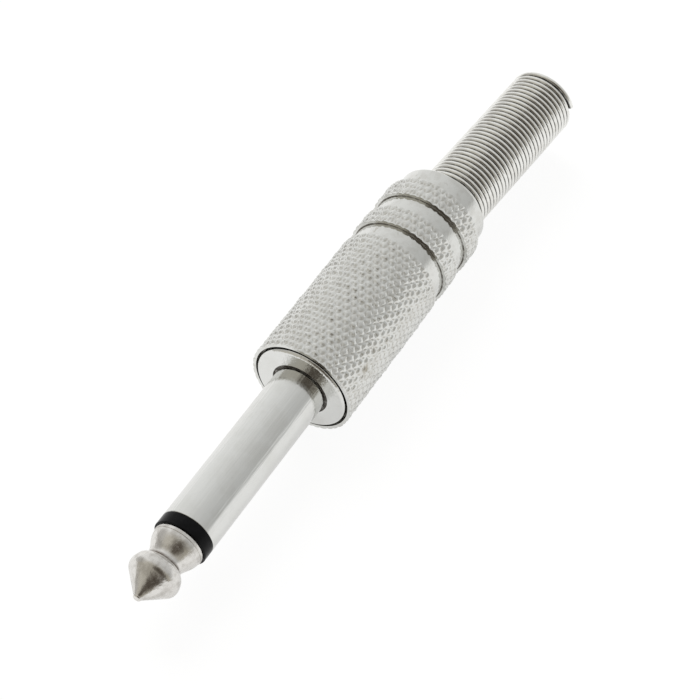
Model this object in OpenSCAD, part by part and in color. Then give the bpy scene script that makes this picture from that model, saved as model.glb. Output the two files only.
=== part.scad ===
// Mono phone plug: polished shank and tip, knurled screw-on barrel and a strain-relief spring.
// The plug's axis is X with the tip at +X, and the origin is the centre of the flange's face,
// the shoulder that stops against a socket.

/* [Plug] */
// Diameter of the shank and of the insulating ring
shank_d = 6.35; // [6:0.05:6.7]
// Length from the shoulder to the nose of the tip
plug_len = 31.6; // [30.5:0.1:34]
// Distance from the nose to the back of the insulating ring
ring_back = 9.45; // [8.8:0.05:10.5]
// Width of the insulating ring
ring_w = 1.5; // [0.8:0.1:2]
// Length of the ring's spigot inside the shank
spigot_len = 2; // [1:0.1:4]
// Wall of the ring's spigot
spigot_wall = 1; // [0.8:0.05:1.2]
// Bevel on the edges of the shank's mouth and of the ring
edge_bevel = 0.08; // [0.02:0.02:0.16]

/* [Tip] */
// Diameter of the tip's rim beside the insulating ring
rim_d = 5.9; // [5.6:0.05:6.2]
// Width of that rim
rim_w = 0.45; // [0.3:0.05:1.2]
// Height of the step from the rim to the rounded bead in front of it
rim_step = 0.06; // [0.02:0.02:0.2]
// Diameter of the waist behind the head
waist_d = 4.1; // [3.6:0.1:4.8]
// Width of the waist
waist_w = 1; // [0.4:0.1:1.5]
// Largest diameter of the head
head_d = 6; // [5.4:0.05:6.3]
// Length of the head's rounded back
head_back = 1.8; // [1:0.1:2.2]
// Length of the head's cone
head_front = 2.9; // [2.4:0.1:3.4]
// Diameter of the nose where its rounding starts
nose_d = 1; // [0.6:0.1:1.4]
// Diameter of the flat on the nose
nose_flat_d = 0.5; // [0.2:0.1:0.6]
// Height of the rounding on the nose
nose_round = 0.25; // [0.1:0.05:0.4]

/* [Core] */
// Diameter of the rod that runs back from the tip
rod_d = 2.4; // [2:0.1:2.6]
// Wall of the insulating tube round the rod
tube_wall = 0.6; // [0.4:0.05:0.7]
// Radial and end clearance between pieces that are pressed together
fit = 0.03; // [0.01:0.01:0.06]

/* [Collar] */
// Thickness of the flange
flange_t = 1.2; // [0.8:0.1:2]
// Bevel on the flange's front edge
flange_bevel = 0.25; // [0.1:0.05:0.5]
// Width of the relief groove where the flange meets the shank
root_w = 0.3; // [0.1:0.05:0.4]
// Depth of that groove
root_depth = 0.15; // [0.05:0.01:0.2]
// How far the flange stands out past the collar's screw thread
flange_step = 0.25; // [0.25:0.05:0.5]
// Length of the screw thread
thread_len = 5; // [3:0.5:7]
// Depth of the screw thread
thread_depth = 0.45; // [0.4:0.05:0.6]
// Width of the relief groove behind the flange
relief_w = 0.6; // [0.3:0.1:1]
// Diameter of the hub that carries the sleeve's tag
hub_d = 5.4; // [5:0.1:5.6]
// Diameter of the rim that is staked over the tag
staked_d = 6; // [5.8:0.1:6.4]
// Thickness of the staked rim
staked_t = 0.5; // [0.3:0.1:0.8]

/* [Tags] */
// Thickness of both solder tags
tag_t = 0.5; // [0.3:0.05:0.7]
// Width of the sleeve tag's tongue
sleeve_tag_w = 3.4; // [2.6:0.1:3.8]
// Length of the sleeve tag behind the collar
sleeve_tag_len = 13; // [11:0.5:14]
// Gap between the tongue and the staked rim
tongue_gap = 0.25; // [0.1:0.05:0.4]
// Length of the cable clamp at the end of the sleeve tag
clamp_len = 4; // [2.5:0.5:5]
// Angle that the clamp's two ears wrap in all
clamp_wrap = 210; // [150:5:250]
// Diameter of the solder holes
solder_hole_d = 1.3; // [0.8:0.1:1.5]
// Diameter of the tip tag's eye
tip_tag_d = 4.4; // [4:0.1:5]
// Width of the tip tag's tongue
tip_tag_w = 2.4; // [2:0.1:3]
// Length of the tip tag's tongue
tip_tag_len = 6; // [4.5:0.5:7]
// Thickness of the rear insulating washer
washer_t = 0.8; // [0.5:0.1:1.2]
// Diameter of the rod's peened end
peen_d = 3.4; // [3:0.1:3.6]
// Thickness of the rod's peened end
peen_t = 0.6; // [0.4:0.1:1]

/* [Barrel] */
// Diameter over the knurl's crests
knurl_d = 12.7; // [12.6:0.05:13.4]
// Depth of the knurl
knurl_depth = 0.25; // [0.15:0.01:0.3]
// Wall of the barrel's mouth under the knurl
lip_wall = 0.23; // [0.1:0.01:0.3]
// Height of the mouth's plain edge over that wall
lip_rise = 0.12; // [0:0.01:0.15]
// Number of knurl grooves each way round the barrel
knurl_starts = 40; // [30:1:48]
// Length of one knurl diamond along the barrel
diamond_len = 1.64; // [1.2:0.02:2.4]
// How far the barrel's lip stands behind the flange's face
lip_back = 0.3; // [0.05:0.05:0.4]
// Length of the long knurled grip
grip_len = 18.9; // [16:0.05:22]
// Length of each short knurled band
band_len = 2.7; // [2:0.05:3.5]
// Width of each plain groove
groove_w = 2.3; // [1.5:0.05:3]
// Depth of the plain grooves below the knurl's crests
groove_depth = 0.55; // [0.4:0.05:0.8]
// Length of the plain tail
tail_len = 2.7; // [2:0.05:4]
// Wall of the plain tail
tail_wall = 0.75; // [0.6:0.025:1]
// Rounding on the tail's outer edge
tail_round = 0.35; // [0.1:0.05:0.5]
// Bevel on the tail's inner edge
tail_bevel = 0.15; // [0.05:0.05:0.2]
// Radial clearance between the flange and the barrel's mouth
mouth_gap = 0.25; // [0.06:0.01:0.3]
// Clearance behind the flange, where the barrel seats
seat_gap = 0.05; // [0.02:0.01:0.1]
// Radial clearance of the screw thread
thread_gap = 0.1; // [0.06:0.01:0.15]
// Length of the barrel's own thread past the collar's
thread_spare = 0.9; // [0.5:0.1:2]
// How much wider the chamber behind the thread is than the thread's core
chamber_relief = 0.3; // [0.25:0.05:0.4]
// Length of the hole that the spring comes out of
tail_bore_len = 7.9; // [5:0.1:8.5]
// Least radial clearance between that hole and the spring
tail_gap = 0.1; // [0.08:0.01:0.2]

/* [Liner] */
// Length of the insulating sleeve in the chamber
liner_len = 12; // [9:0.5:13]
// Wall of the insulating sleeve
liner_wall = 0.35; // [0.25:0.05:0.4]
// Radial clearance between the insulating sleeve and the core of the barrel's thread
liner_gap = 0.1; // [0.05:0.05:0.15]
// Gap between the collar and the insulating sleeve
liner_from_collar = 1.6; // [1.2:0.1:2.2]

/* [Spring] */
// Outer diameter of the spring
spring_d = 8.5; // [7.6:0.05:8.6]
// Diameter of the spring's wire
wire_d = 0.64; // [0.5:0.01:0.65]
// Distance from one turn to the next
spring_pitch = 0.67; // [0.67:0.01:0.8]
// Length of the spring behind the barrel's tail
spring_out = 22.45; // [10:0.05:30]
// Number of wide half turns that hold the spring in the chamber
captive_halves = 3; // [2:1:5]
// Least radial clearance between those turns and the chamber
captive_side = 0.05; // [0.02:0.01:0.1]
// Axial gap between the captive turns and the chamber's end
captive_gap = 0.3; // [0.05:0.05:0.4]
// How far the last half turn opens
end_gap = 0.05; // [0:0.05:0.6]
// How far the wire's end stands out
end_splay = 0.15; // [0:0.05:0.3]
// How much the wire thins where a half turn is pulled to another radius
bend_thinning = 0.006; // [0.004:0.002:0.02]
// Angle from the top at which the wire ends
end_angle = 75; // [0:5:355]
// Angle by which the spring hangs out of line
spring_lean = 3.6; // [0:0.1:3.8]

/* [Hidden] */
$fn = 96;
nickel = [0.80, 0.80, 0.78];
tinned = [0.76, 0.72, 0.60];
black = [0.06, 0.06, 0.07];
clear = [0.85, 0.86, 0.86, 0.5];
// How far a cut runs past the face that it opens
past = 1;

// Places along the axis, from the tip backwards
ring_rear = plug_len - ring_back;
ring_front = ring_rear + ring_w;
head_x = plug_len - head_front;
waist_front = head_x - head_back;
waist_back = waist_front - waist_w;
rim_front = ring_front + rim_w;
collar_end = -flange_t - relief_w - thread_len;
staked_front = collar_end - tag_t - 2 * fit;
hub_end = staked_front - staked_t;
washer_end = hub_end - fit - washer_t;
tip_tag_front = washer_end - fit;
peen_front = tip_tag_front - tag_t - fit;
mouth_floor = -flange_t - seat_gap;
thread_end = collar_end - thread_spare;
band_2 = -lip_back - grip_len - groove_w;
band_3 = band_2 - band_len - groove_w;
tail_front = band_3 - band_len;
tail_end = tail_front - tail_len;
chamber_end = tail_end + tail_bore_len;
liner_front = collar_end - liner_from_collar;

// Diameters and radii that fit into one another
knurl_root_r = knurl_d / 2 - knurl_depth;
mouth_r = knurl_root_r - lip_wall;
flange_d = 2 * (mouth_r - mouth_gap);
thread_d = flange_d - 2 * flange_step;
core_d = thread_d - 2 * thread_depth;
chamber_d = core_d + 2 * chamber_relief;
groove_d = knurl_d - 2 * groove_depth;
tail_bore_r = spring_d / 2 / cos(spring_lean) + tail_bore_len * tan(spring_lean) + tail_gap;
tail_r = tail_bore_r + tail_wall;
captive_len = captive_gap + captive_halves * spring_pitch / 2 + wire_d + chamber_d / 2 * sin(spring_lean);
captive_d = chamber_d - 2 * (captive_side + captive_len * sin(spring_lean));
rod_bore_r = rod_d / 2 + fit;
tube_r = rod_bore_r + tube_wall;
spigot_r = rod_bore_r + spigot_wall;
tongue_in = staked_d / 2 + tongue_gap;
tongue_out = tongue_in + tag_t;
liner_r = core_d / 2 - liner_gap;

// The spring's wire, half a turn at a time
coil_r = (spring_d - wire_d) / 2;
captive_r = (captive_d - wire_d) / 2;
captive_tilt = captive_d / 2 * sin(spring_lean);
coil_len = tail_bore_len + spring_out + captive_gap + captive_tilt - wire_d / 2;
half_turns = captive_halves + round(2 * coil_len / spring_pitch);
coil_front = chamber_end + captive_gap + captive_tilt + wire_d / 2 + captive_halves * spring_pitch / 2;

// Centreline radius of the wire after k half turns
function coil_radius(k) =
    k <= captive_halves ? captive_r : k == half_turns ? coil_r + end_splay : coil_r;

// Diameter of the wire over the half turn after k others
function wire_over(k) = k == captive_halves || k == half_turns - 1 ? wire_d - bend_thinning : wire_d;

// Distance along the spring after k half turns
function coil_height(k) = k * spring_pitch / 2 + (k == half_turns ? end_gap : 0);

// Solid turned about the X axis from [radius, x] points
module turned(points) {
    rotate([0, 90, 0]) rotate_extrude() polygon(points);
}

// Cylinder along X from x_front back to x_back
module bar(d, x_front, x_back) {
    translate([x_back, 0, 0]) rotate([0, 90, 0]) cylinder(d = d, h = x_front - x_back);
}

// Drum with pyramid diamonds from x_front back over a length, its front edge plain if front_r is set
module knurled_drum(x_front, length, front_r) {
    rows = max(2, round(2 * length / diamond_len));
    columns = 2 * knurl_starts;
    crest_r = knurl_d / 2;
    function spot(i, j) = i * columns + j % columns;
    points = [
        for (i = [0 : rows], j = [0 : columns - 1])
            let (
                plain = i == rows && !is_undef(front_r),
                r = plain ? front_r : (i + j) % 2 == 0 ? knurl_root_r : crest_r,
                angle = 360 * j / columns
            )
            [x_front - length + length * i / rows, r * cos(angle), r * sin(angle)]
    ];
    centres = [[x_front - length, 0, 0], [x_front, 0, 0]];
    back_centre = len(points);
    front_centre = back_centre + 1;
    diamonds = [
        for (i = [0 : rows - 1], j = [0 : columns - 1])
            let (a = spot(i, j), b = spot(i + 1, j), c = spot(i + 1, j + 1), d = spot(i, j + 1))
            each (i + j) % 2 == 0 ? [[a, b, c], [a, c, d]] : [[a, b, d], [b, c, d]]
    ];
    caps = [
        for (j = [0 : columns - 1])
            each [
                [back_centre, spot(0, j), spot(0, j + 1)],
                [front_centre, spot(rows, j + 1), spot(rows, j)]
            ]
    ];
    polyhedron(concat(points, centres), concat(diamonds, caps));
}

// Half a turn of wire of diameter d between two radii and two heights, from +X round by +Y to -X
module half_turn(d, r_1, r_2, z_1, z_2) {
    r_mid = (r_1 + r_2) / 2;
    rise = (z_2 - z_1) / 2;
    translate([(r_1 - r_2) / 2, 0, (z_1 + z_2) / 2])
        rotate([0, atan(rise / r_mid), 0])
            rotate_extrude(angle = 180)
                translate([norm([r_mid, rise]), 0])
                    circle(d = d, $fn = 48);
}

module tip_contact() {
    bead_r = rim_d / 2 - rim_step;
    waist_r = waist_d / 2;
    head_r = head_d / 2;
    bead = [
        for (angle = [0 : 10 : 90])
            [waist_r + (bead_r - waist_r) * cos(angle), rim_front + (waist_back - rim_front) * sin(angle)]
    ];
    back = [
        for (angle = [0 : 10 : 90])
            [waist_r + (head_r - waist_r) * sin(angle), head_x - head_back * cos(angle)]
    ];
    nose = [
        for (angle = [0 : 22.5 : 90])
            [
                (nose_flat_d + (nose_d - nose_flat_d) * cos(angle)) / 2,
                plug_len - nose_round * (1 - sin(angle))
            ]
    ];
    color(nickel)
        turned(concat(
            [
                [0, peen_front - peen_t], [peen_d / 2 - peen_t / 2, peen_front - peen_t],
                [peen_d / 2, peen_front - peen_t / 2], [peen_d / 2, peen_front], [rod_d / 2, peen_front],
                [rod_d / 2, ring_front + fit], [rim_d / 2, ring_front + fit], [rim_d / 2, rim_front]
            ],
            bead, back, nose, [[0, plug_len]]
        ));
}

module tip_insulator() {
    ring_r = shank_d / 2;
    spigot_back = ring_rear - spigot_len;
    color(black)
        turned([
            [rod_bore_r, spigot_back], [spigot_r, spigot_back], [spigot_r, ring_rear],
            [ring_r - edge_bevel, ring_rear], [ring_r, ring_rear + edge_bevel],
            [ring_r, ring_front - edge_bevel], [ring_r - edge_bevel, ring_front], [rod_bore_r, ring_front]
        ]);
}

module core_tube() {
    tube_front = ring_rear - spigot_len - fit;
    color(black)
        difference() {
            bar(2 * tube_r, tube_front, hub_end);
            bar(2 * rod_bore_r, tube_front + past, hub_end - past);
        }
}

module shank() {
    shank_r = shank_d / 2;
    flange_r = flange_d / 2;
    thread_r = thread_d / 2;
    thread_bevel = thread_depth / 2;
    bore_r = tube_r + fit;
    socket_r = spigot_r + fit;
    shank_front = ring_rear - fit;
    socket_floor = ring_rear - spigot_len - fit;
    color(nickel)
        turned([
            [bore_r, hub_end], [staked_d / 2, hub_end], [staked_d / 2, staked_front],
            [hub_d / 2, staked_front], [hub_d / 2, collar_end], [thread_r - thread_bevel, collar_end],
            [thread_r, collar_end + thread_bevel], [thread_r, -flange_t - relief_w],
            [thread_r - thread_depth, -flange_t - relief_w], [thread_r - thread_depth, -flange_t],
            [flange_r, -flange_t], [flange_r, -flange_bevel], [flange_r - flange_bevel, 0],
            [shank_r + root_w, 0], [shank_r + root_w, -root_depth], [shank_r, -root_depth],
            [shank_r, shank_front - edge_bevel], [shank_r - edge_bevel, shank_front],
            [socket_r, shank_front], [socket_r, socket_floor], [bore_r, socket_floor]
        ]);
}

module rear_washer() {
    color(black)
        difference() {
            bar(staked_d, hub_end - fit, washer_end);
            bar(2 * rod_bore_r, hub_end + past, washer_end - past);
        }
}

// Cup trimmed to its plate, the tongue below the axis and the clamp that wraps the cable
module sleeve_tag() {
    tag_front = collar_end - fit;
    plate_back = tag_front - tag_t;
    tag_end = collar_end - sleeve_tag_len;
    clamp_front = tag_end + clamp_len;
    hole_x = (clamp_front + washer_end) / 2;
    color(tinned)
        difference() {
            intersection() {
                bar(2 * tongue_out, tag_front, tag_end);
                union() {
                    bar(2 * (tongue_out + past), tag_front + past, plate_back);
                    translate([tag_end - past, -sleeve_tag_w / 2, -tongue_out - past])
                        cube([tag_front - tag_end + 2 * past, sleeve_tag_w, tongue_out + past]);
                    translate([tag_end - past, 0, 0]) rotate([0, 90, 0])
                        rotate([0, 0, -clamp_wrap / 2])
                            rotate_extrude(angle = clamp_wrap) square([tongue_out + past, clamp_len + past]);
                }
            }
            bar(2 * tongue_in, plate_back, tag_end - past);
            bar(hub_d + 2 * fit, tag_front + past, plate_back - past);
            translate([hole_x, 0, -tongue_out - past]) cylinder(d = solder_hole_d, h = tag_t + 2 * past);
        }
}

module tip_tag() {
    tongue_z = tip_tag_d / 2 - tag_t;
    tongue_end = tip_tag_front - tip_tag_len;
    color(tinned)
        difference() {
            union() {
                bar(tip_tag_d, tip_tag_front, tip_tag_front - tag_t);
                translate([tongue_end, -tip_tag_w / 2, tongue_z])
                    cube([tip_tag_len, tip_tag_w, tag_t]);
            }
            bar(2 * rod_bore_r, tip_tag_front + past, tip_tag_front - tag_t - past);
            translate([tongue_end + solder_hole_d, 0, tongue_z - past])
                cylinder(d = solder_hole_d, h = tag_t + 2 * past);
        }
}

module barrel() {
    groove_r = groove_d / 2;
    female_r = thread_d / 2 + thread_gap;
    tail_corner = [
        for (angle = [0 : 15 : 90])
            [tail_r - tail_round * (1 - cos(angle)), tail_end + tail_round * (1 - sin(angle))]
    ];
    color(nickel)
        difference() {
            union() {
                turned(concat(
                    [[0, -lip_back], [groove_r, -lip_back], [groove_r, tail_front], [tail_r, tail_front]],
                    tail_corner,
                    [[0, tail_end]]
                ));
                knurled_drum(-lip_back, grip_len, mouth_r + lip_wall + lip_rise);
                knurled_drum(band_2, band_len);
                knurled_drum(band_3, band_len);
            }
            turned([
                [0, past], [mouth_r, past], [mouth_r, mouth_floor], [female_r, mouth_floor],
                [female_r, thread_end], [chamber_d / 2, thread_end], [chamber_d / 2, chamber_end],
                [tail_bore_r, chamber_end], [tail_bore_r, tail_end + tail_bevel],
                [tail_bore_r + tail_bevel + past, tail_end - past], [0, tail_end - past]
            ]);
        }
}

module barrel_liner() {
    color(clear)
        difference() {
            bar(2 * liner_r, liner_front, liner_front - liner_len);
            bar(2 * (liner_r - liner_wall), liner_front + past, liner_front - liner_len - past);
        }
}

module strain_spring() {
    color(nickel)
        translate([chamber_end, 0, 0]) rotate([0, 0, -spring_lean])
            translate([coil_front - chamber_end, 0, 0]) rotate([0, -90, 0])
                rotate([0, 0, end_angle - 180 * half_turns])
                    for (k = [0 : half_turns - 1])
                        rotate([0, 0, 180 * k])
                            half_turn(
                                wire_over(k),
                                coil_radius(k), coil_radius(k + 1),
                                coil_height(k), coil_height(k + 1)
                            );
}

tip_contact();
tip_insulator();
core_tube();
shank();
rear_washer();
sleeve_tag();
tip_tag();
barrel();
barrel_liner();
strain_spring();
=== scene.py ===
import math

import bpy
import numpy as np
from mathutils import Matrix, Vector


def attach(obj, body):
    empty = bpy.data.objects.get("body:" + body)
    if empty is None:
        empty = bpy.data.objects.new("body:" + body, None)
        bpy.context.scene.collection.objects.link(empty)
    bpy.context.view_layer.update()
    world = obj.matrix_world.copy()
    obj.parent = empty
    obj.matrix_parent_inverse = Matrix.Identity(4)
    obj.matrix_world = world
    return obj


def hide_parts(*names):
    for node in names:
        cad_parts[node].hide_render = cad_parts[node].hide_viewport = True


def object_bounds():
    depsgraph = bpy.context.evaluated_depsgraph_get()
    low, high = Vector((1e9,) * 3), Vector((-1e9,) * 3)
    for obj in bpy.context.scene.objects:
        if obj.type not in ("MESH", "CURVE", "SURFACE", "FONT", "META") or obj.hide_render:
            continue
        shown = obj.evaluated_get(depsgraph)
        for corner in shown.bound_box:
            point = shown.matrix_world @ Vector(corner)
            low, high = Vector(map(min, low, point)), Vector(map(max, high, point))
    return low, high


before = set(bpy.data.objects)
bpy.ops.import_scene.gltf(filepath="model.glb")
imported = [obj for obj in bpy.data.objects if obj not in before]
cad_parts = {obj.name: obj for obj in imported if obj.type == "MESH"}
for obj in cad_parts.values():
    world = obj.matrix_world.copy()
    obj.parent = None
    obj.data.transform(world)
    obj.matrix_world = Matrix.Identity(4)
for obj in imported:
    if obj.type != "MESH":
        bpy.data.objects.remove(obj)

cad_box = [list(corner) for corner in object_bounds()]

# Mono phone plug along X with the tip at +X: polished shank, knurled barrel and strain-relief spring.
# Sizes are in millimetres, as in the part's solids, and meshes are made in metres.
MM = 0.001
MICROMETRE = 0.000001
# Lengths below this count as nothing
SAME = 1e-6
# Points round the turned pieces, and rows along a thread
SEGMENTS = 192
THREAD_ROWS = 84

# Shank, flange and screw collar
SHANK_R = 3.175
SHANK_FRONT = 22.12
FLANGE_R = 5.62
FLANGE_T = 1.2
FLANGE_BEVEL = 0.25
ROOT_W = 0.3
ROOT_DEPTH = 0.15
ROOT_MARGIN = 0.12
RELIEF_W = 0.6
RELIEF_R = 4.92
COLLAR_END = -6.8
COLLAR_BEVEL = 0.25
THREAD_BACK = COLLAR_END + COLLAR_BEVEL
THREAD_FRONT = -FLANGE_T - RELIEF_W
HUB_R = 2.7
STAKED_R = 3.0
STAKED_FRONT = -7.36
HUB_END = -7.86
SHANK_BORE_R = 1.86
SOCKET_R = 2.26
SOCKET_FLOOR = 20.12

# Screw thread between collar and barrel, right-handed
THREAD_R = 5.37
THREAD_DEPTH = 0.42
THREAD_PITCH = 1.0
THREAD_GAP = 0.1
COLLAR_RUN_OUT = 0.4
BARREL_RUN_OUT = 0.5
BARREL_PLAIN = 0.2
CREST_HALF = 0.06
FLANK_SLOPE = math.tan(math.radians(30))

# Insulating ring
RING_BACK = 22.15
RING_FRONT = 23.65
RING_ROUND = 0.08
SPIGOT_R = 2.23
SPIGOT_BACK = 20.15
ROD_BORE_R = 1.23

# Tip
NOSE_X = 31.6
RIM_R = 2.95
RIM_BACK = 23.68
RIM_FRONT = 24.1
RIM_STEP = 0.06
WAIST_R = 2.05
WAIST_BACK = 25.9
WAIST_FRONT = 26.9
BEAD_SWEEP = 0.6
HEAD_R = 3.0
HEAD_X = 28.7
HEAD_ROUND = 1.1
NOSE_R = 0.5
NOSE_FLAT_R = 0.25
NOSE_ROUND = 0.25
ROD_R = 1.2
PEEN_R = 1.7
PEEN_FRONT = -9.25
PEEN_T = 0.6

# Barrel
KNURL_R = 6.35
KNURL_DEPTH = 0.25
KNURL_STARTS = 40
TRIMMED_R = 6.24
DIAMOND_LEN = 1.64
LIP_X = -0.3
LIP_R = 6.2
LIP_RISE = 0.08
LIP_BEVEL = 0.1
GRIP_END = -19.2
BAND_2 = (-21.5, -24.2)
BAND_3 = (-26.5, -29.2)
GROOVE_R = 5.8
FOOT_ROUND = 0.06
TAIL_R = 5.605
TAIL_END = -31.9
TAIL_ROUND = 0.35
TAIL_BORE_R = 4.855
TAIL_BEVEL = 0.15
MOUTH_R = 5.87
MOUTH_FLOOR = -1.25
FEMALE_R = 5.47
FEMALE_END = -7.7
CHAMBER_R = 5.22
CHAMBER_END = -24.0

# Spring
WIRE_R = 0.32
COIL_R = 3.93
CAPTIVE_R = 4.707
CAPTIVE_TURNS = 1.5
COIL_TURNS = 47
COIL_PITCH = 0.67
COIL_FRONT = -22.059
END_GAP = 0.05
END_SPLAY = 0.15
END_ANGLE = math.radians(75)
SPRING_LEAN = math.radians(3.6)

# Camera, fitted to the photograph with the shank's diameter
CAMERA_AZIMUTH = math.radians(30.886)
CAMERA_ELEVATION = math.radians(50.772)
CAMERA_DISTANCE = 238.31
CAMERA_TARGET = (-7.552, 1.884, 0.0)
CAMERA_LENS = 110.33
SENSOR_WIDTH = 36.0


# Outlines

def rounded_outline(corners, closed=True, steps=6, support=0.02):
    """Outline of straight stretches with rounded corners, from rows of x, r and rounding radius.

    A rounding q cuts its corner off at q / tan(half the angle) along both sides, and a circle's arc
    joins the cuts. A support point beside each arc keeps the flats flat when shaded smooth.
    """
    corners = np.asarray(corners, float)
    point = corners[:, :2]
    to_last = np.roll(point, 1, 0) - point
    to_next = np.roll(point, -1, 0) - point
    length_last = np.linalg.norm(to_last, axis=1)
    length_next = np.linalg.norm(to_next, axis=1)
    to_last /= length_last[:, None]
    to_next /= length_next[:, None]
    half = np.arccos(np.clip((to_last * to_next).sum(1), -1, 1)) / 2
    cut = corners[:, 2] / np.tan(half)
    middle = to_last + to_next
    middle /= np.maximum(np.linalg.norm(middle, axis=1), 1e-9)[:, None]
    centre = point + middle * (corners[:, 2] / np.sin(half))[:, None]
    start = point + to_last * cut[:, None] - centre
    end = point + to_next * cut[:, None] - centre
    sweep = np.maximum(math.pi - 2 * half, 1e-6)[:, None]
    share = np.linspace(0, 1, steps)[None, :]
    arc = (
        np.sin((1 - share) * sweep)[:, :, None] * start[:, None, :]
        + np.sin(share * sweep)[:, :, None] * end[:, None, :]
    ) / np.sin(sweep)[:, :, None] + centre[:, None, :]
    room_last = (length_last - cut - np.roll(cut, 1)) / 4
    room_next = (length_next - cut - np.roll(cut, -1)) / 4
    before = point + to_last * (cut + np.minimum(support, room_last))[:, None]
    after = point + to_next * (cut + np.minimum(support, room_next))[:, None]
    outline = np.concatenate([before[:, None], arc, after[:, None]], axis=1)
    if not closed:
        outline[0] = point[0]
        outline[-1] = point[-1]
    outline = outline.reshape(-1, 2)
    apart = np.linalg.norm(np.diff(outline, axis=0, prepend=outline[-1:]), axis=1) > SAME
    apart[0] = True
    return outline[apart]


def arc_points(centre, radii, first, last, count):
    """Points on an ellipse about centre: its radii times the cosine and sine of an evenly stepped angle."""
    angle = np.radians(np.linspace(first, last, count))
    return np.stack([centre[0] + radii[0] * np.cos(angle), centre[1] + radii[1] * np.sin(angle)], axis=1)


# Meshes

def round_grid(x, r, angle):
    """Points at distance r from the X axis: x, r times the angle's cosine along Y and its sine along Z."""
    x, r, angle = np.broadcast_arrays(x, r, angle)
    return np.stack([x, r * np.cos(angle), r * np.sin(angle)], axis=-1)


def grid_quads(rows, columns, close_rows=False):
    """Quads between neighbours of a grid that closes round its columns, and along its rows if asked."""
    row = np.arange(rows if close_rows else rows - 1)[:, None]
    column = np.arange(columns)[None, :]
    row_2 = (row + 1) % rows
    column_2 = (column + 1) % columns
    near = row * columns
    far = row_2 * columns
    quads = [near + column, near + column_2, far + column_2, far + column]
    return np.stack(quads, axis=-1).reshape(-1, 4)


def fan(centre, ring):
    """Triangles from one centre vertex to each edge of a closed ring of vertices."""
    return np.stack([np.full(len(ring), centre), ring, np.roll(ring, -1)], axis=1)


def turned(outline, segments, radius=None):
    """An outline of x and r turned about X, with one pole where an end lies on the axis.

    A radius function of x, r and angle may reshape the surface, as a thread does.
    """
    poles = outline[0, 1] < SAME
    rings = outline[1:-1] if poles else outline
    angle = np.linspace(0, 2 * math.pi, segments, endpoint=False)[None, :]
    x, r = rings[:, :1], rings[:, 1:]
    if radius is not None:
        r = radius(x, r, angle)
    points = round_grid(x, r, angle).reshape(-1, 3)
    quads = grid_quads(len(rings), segments, close_rows=not poles)
    triangles = np.zeros((0, 3), int)
    if poles:
        first, last = len(points), len(points) + 1
        ends = [[outline[0, 0], 0, 0], [outline[-1, 0], 0, 0]]
        points = np.concatenate([points, ends])
        ring = np.arange(segments)
        last_ring = ring + (len(rings) - 1) * segments
        triangles = np.concatenate([fan(first, ring)[:, ::-1], fan(last, last_ring)])
    return points, quads, triangles


def signed_volume(points, quads, triangles):
    """Volume inside a closed mesh: a sixth of the sum of each triangle's triple product."""
    parts = np.concatenate([triangles, quads[:, [0, 1, 2]], quads[:, [0, 2, 3]]])
    a, b, c = (points[parts[:, k]] for k in range(3))
    return (a * np.cross(b, c)).sum() / 6


def make_piece(name, points, quads, triangles, body, node, slot, sharp_degrees=40):
    """Mesh object that stands for a CAD node, its faces turned outwards and its edges split by angle."""
    if signed_volume(points, quads, triangles) < 0:
        quads, triangles = quads[:, ::-1], triangles[:, ::-1]
    mesh = bpy.data.meshes.new(name)
    mesh.from_pydata((points * MM).tolist(), [], quads.tolist() + triangles.tolist())
    mesh.polygons.foreach_set("use_smooth", np.ones(len(mesh.polygons), bool))
    mesh.set_sharp_from_angle(angle=math.radians(sharp_degrees))
    piece = bpy.data.objects.new(name, mesh)
    bpy.context.scene.collection.objects.link(piece)
    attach(piece, body)
    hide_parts(node)
    return piece


def set_values(piece, name, values):
    """One number per vertex, kept with the mesh for its material."""
    piece.data.attributes.new(name, "FLOAT", "POINT").data.foreach_set("value", values.astype(np.float32))


# Screw thread

def thread_offset(x, angle):
    """Distance along X from the nearest middle of the collar's ridge, which climbs a pitch a turn."""
    turns = x / THREAD_PITCH - angle / (2 * math.pi)
    return np.abs(turns - np.round(turns)) * THREAD_PITCH


def fade(x, start, end, width):
    """One between start and end, easing to nothing over a width inside each of them."""
    share = np.clip(np.minimum(x - start, end - x) / width, 0, 1)
    return share * share * (3 - 2 * share)


def collar_radius(x, r, angle):
    """The collar's crest radius, less the thread depth where the ridge is further off than its flank."""
    flank = THREAD_DEPTH * FLANK_SLOPE
    ridge = np.clip((CREST_HALF + flank - thread_offset(x, angle)) / flank, 0, 1)
    on_collar = (np.abs(r - THREAD_R) < SAME) & (x < -FLANGE_T)
    depth = THREAD_DEPTH * fade(x, THREAD_BACK, THREAD_FRONT, COLLAR_RUN_OUT)
    return np.where(on_collar, r - depth * (1 - ridge), r + 0 * angle)


def barrel_thread_radius(x, angle):
    """The barrel's thread: ridges that reach into the collar's grooves, a gap away from their flanks."""
    offset = THREAD_PITCH / 2 - thread_offset(x, angle)
    height = THREAD_DEPTH - THREAD_GAP + (FEMALE_R - THREAD_R)
    flank = height * FLANK_SLOPE
    ridge = np.clip((CREST_HALF + flank - offset) / flank, 0, 1)
    full = fade(x, FEMALE_END + BARREL_PLAIN, MOUTH_FLOOR - BARREL_PLAIN, BARREL_RUN_OUT)
    return FEMALE_R - height * ridge * full


# Pieces

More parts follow.
